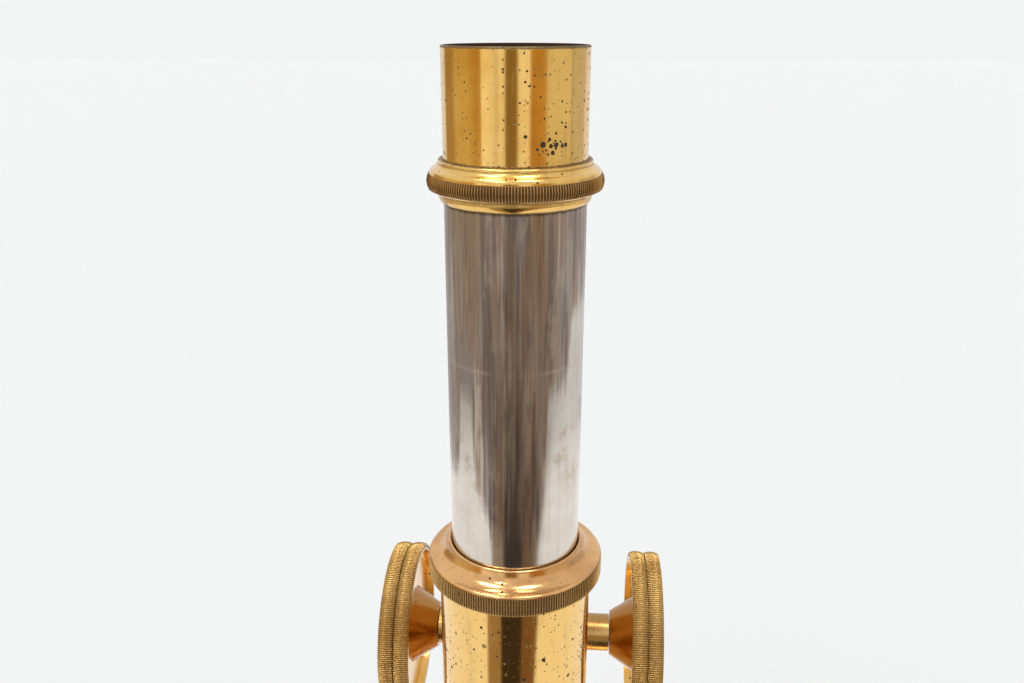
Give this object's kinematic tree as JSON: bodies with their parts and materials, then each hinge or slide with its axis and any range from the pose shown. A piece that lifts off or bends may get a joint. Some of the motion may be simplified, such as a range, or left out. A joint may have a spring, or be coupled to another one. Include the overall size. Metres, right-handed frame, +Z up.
{
  "type": "compound microscope",
  "caption": "Antique brass compound microscope on a claw foot, with an inclining limb, rack focus, nickel draw tube, round stage, aperture wheel and mirror.",
  "frame": {"origin": "middle of the foot's footprint, on the surface it stands on", "axes": "+Z up along the optical axis at rest, -Y towards the stage side, +X to the right seen from the stage side"},
  "size_m": [0.148, 0.2, 0.4778],
  "materials": {
    "lacquered_brass": "bright gold lacquer, spotted with age",
    "aged_brass": "lacquered, darker in the corners",
    "coppery_brass": "pinkish lacquer",
    "dark_brass": "blackened and browned",
    "spring_brass": "drawn sheet",
    "nickel_plate": "tarnished nickel, streaked along the tube",
    "steel": "polished, slightly blued",
    "lens_glass": "polished",
    "silvered_glass": "silvered behind glass",
    "leather_pad": "worn"
  },
  "bodies": {
    "stand": {"foot": "aged_brass", "foot_pads": "leather_pad", "pillar_bolts": "steel", "pillar_left": "aged_brass", "pillar_right": "aged_brass", "pillar_head_left": "aged_brass", "pillar_head_right": "aged_brass", "trunnion_axle": "steel", "trunnion_nut_left": "lacquered_brass", "trunnion_nut_right": "lacquered_brass"},
    "limb": {"limb": "aged_brass", "limb_cover": "aged_brass", "limb_cover_screws": "steel", "pinion_bush_left": "coppery_brass", "pinion_bush_right": "coppery_brass", "stage_base": "aged_brass", "stage_screws": "steel", "wheel_screw": "steel", "tail_bar": "aged_brass", "tail_end_cap": "aged_brass"},
    "coarse_drive": {"pinion_shaft": "steel", "knob_left": "lacquered_brass", "knob_right": "lacquered_brass", "knob_screws": "steel"},
    "body": {"body_tube": "lacquered_brass", "body_collar": "coppery_brass", "draw_guide": "dark_brass", "body_slide": "lacquered_brass", "rack": "lacquered_brass", "nose_housing": "lacquered_brass"},
    "draw": {"draw_tube": "nickel_plate", "draw_diaphragm": "dark_brass", "eyepiece_ring": "lacquered_brass", "eyepiece_socket": "lacquered_brass"},
    "nosepiece": {"nose_tube": "lacquered_brass", "objective_barrel": "lacquered_brass", "objective_cell": "lacquered_brass", "objective_lenses": "lens_glass"},
    "fine_drive": {"fine_focus_spindle": "steel", "fine_focus_head": "lacquered_brass"},
    "turntable": {"stage_disc": "lacquered_brass", "clip_post_left": "lacquered_brass", "clip_post_right": "lacquered_brass"},
    "clip_left": {"clip_leaf_left": "spring_brass"},
    "clip_right": {"clip_leaf_right": "spring_brass"},
    "aperture_wheel": {"aperture_wheel": "dark_brass"},
    "substage": {"substage_arm": "aged_brass", "substage_clamp_screw": "lacquered_brass"},
    "mirror_carrier": {"mirror_collar": "aged_brass", "mirror_arm_pin": "lacquered_brass", "mirror_clamp_screw": "lacquered_brass"},
    "mirror_arm": {"mirror_arm": "aged_brass"},
    "mirror_fork": {"mirror_fork": "aged_brass", "mirror_pivot_screws": "lacquered_brass"},
    "mirror": {"mirror_cell": "lacquered_brass", "mirror_plane": "silvered_glass", "mirror_concave": "silvered_glass"}
  },
  "joints": [
    {"name": "inclination", "type": "hinge", "parent": "stand", "child": "limb", "pos_m": [0, 0.01, 0.168], "axis": [-1, 0, 0], "range_deg": [0, 90]},
    {"name": "coarse_focus", "type": "slide", "parent": "limb", "child": "body", "axis": [0, 0, 1], "range_m": [-0.005, 0.035]},
    {"name": "coarse_knobs", "type": "hinge", "parent": "limb", "child": "coarse_drive", "pos_m": [0, -0.008, 0.29], "axis": [-1, 0, 0], "range_deg": [-60, 418]},
    {"name": "draw_out", "type": "slide", "parent": "body", "child": "draw", "axis": [0, 0, 1], "range_m": [-0.09, 0.012]},
    {"name": "fine_screw", "type": "hinge", "parent": "body", "child": "fine_drive", "pos_m": [0, -0.08, 0.2], "axis": [0, 0, 1], "range_deg": [-901, 901]},
    {"name": "fine_focus", "type": "slide", "parent": "body", "child": "nosepiece", "axis": [0, 0, 1], "range_m": [-0.00125, 0.00125]},
    {"name": "stage_turn", "type": "hinge", "parent": "limb", "child": "turntable", "pos_m": [0, -0.05, 0.129], "axis": [0, 0, 1], "continuous": true},
    {"name": "clip_left_swing", "type": "hinge", "parent": "turntable", "child": "clip_left", "pos_m": [-0.03, -0.028, 0.1345], "axis": [0, 0, 1], "range_deg": [-35, 10]},
    {"name": "clip_right_swing", "type": "hinge", "parent": "turntable", "child": "clip_right", "pos_m": [0.03, -0.028, 0.1345], "axis": [0, 0, 1], "range_deg": [-10, 35]},
    {"name": "aperture_turn", "type": "hinge", "parent": "limb", "child": "aperture_wheel", "pos_m": [-0.018, -0.0626, 0.1155], "axis": [0, 0, 1], "continuous": true},
    {"name": "substage_height", "type": "slide", "parent": "limb", "child": "substage", "axis": [0, 0, 1], "range_m": [-0.006, 0.004]},
    {"name": "mirror_height", "type": "slide", "parent": "limb", "child": "mirror_carrier", "axis": [0, 0, 1], "range_m": [-0.006, 0.005]},
    {"name": "mirror_swing", "type": "hinge", "parent": "mirror_carrier", "child": "mirror_arm", "pos_m": [0, -0.006, 0.052], "axis": [0, 0, 1], "range_deg": [-45, 45]},
    {"name": "mirror_roll", "type": "hinge", "parent": "mirror_arm", "child": "mirror_fork", "pos_m": [0, -0.014, 0.052], "axis": [0, 1, 0], "range_deg": [-40, 40]},
    {"name": "mirror_tilt", "type": "hinge", "parent": "mirror_fork", "child": "mirror", "pos_m": [0, -0.05, 0.052], "axis": [1, 0, 0], "continuous": true}
  ],
  "couplings": [
    {"joint": "coarse_knobs", "follows": "coarse_focus", "rad_per_m": 208.33},
    {"joint": "fine_screw", "follows": "fine_focus", "rad_per_m": 12566}
  ]
}
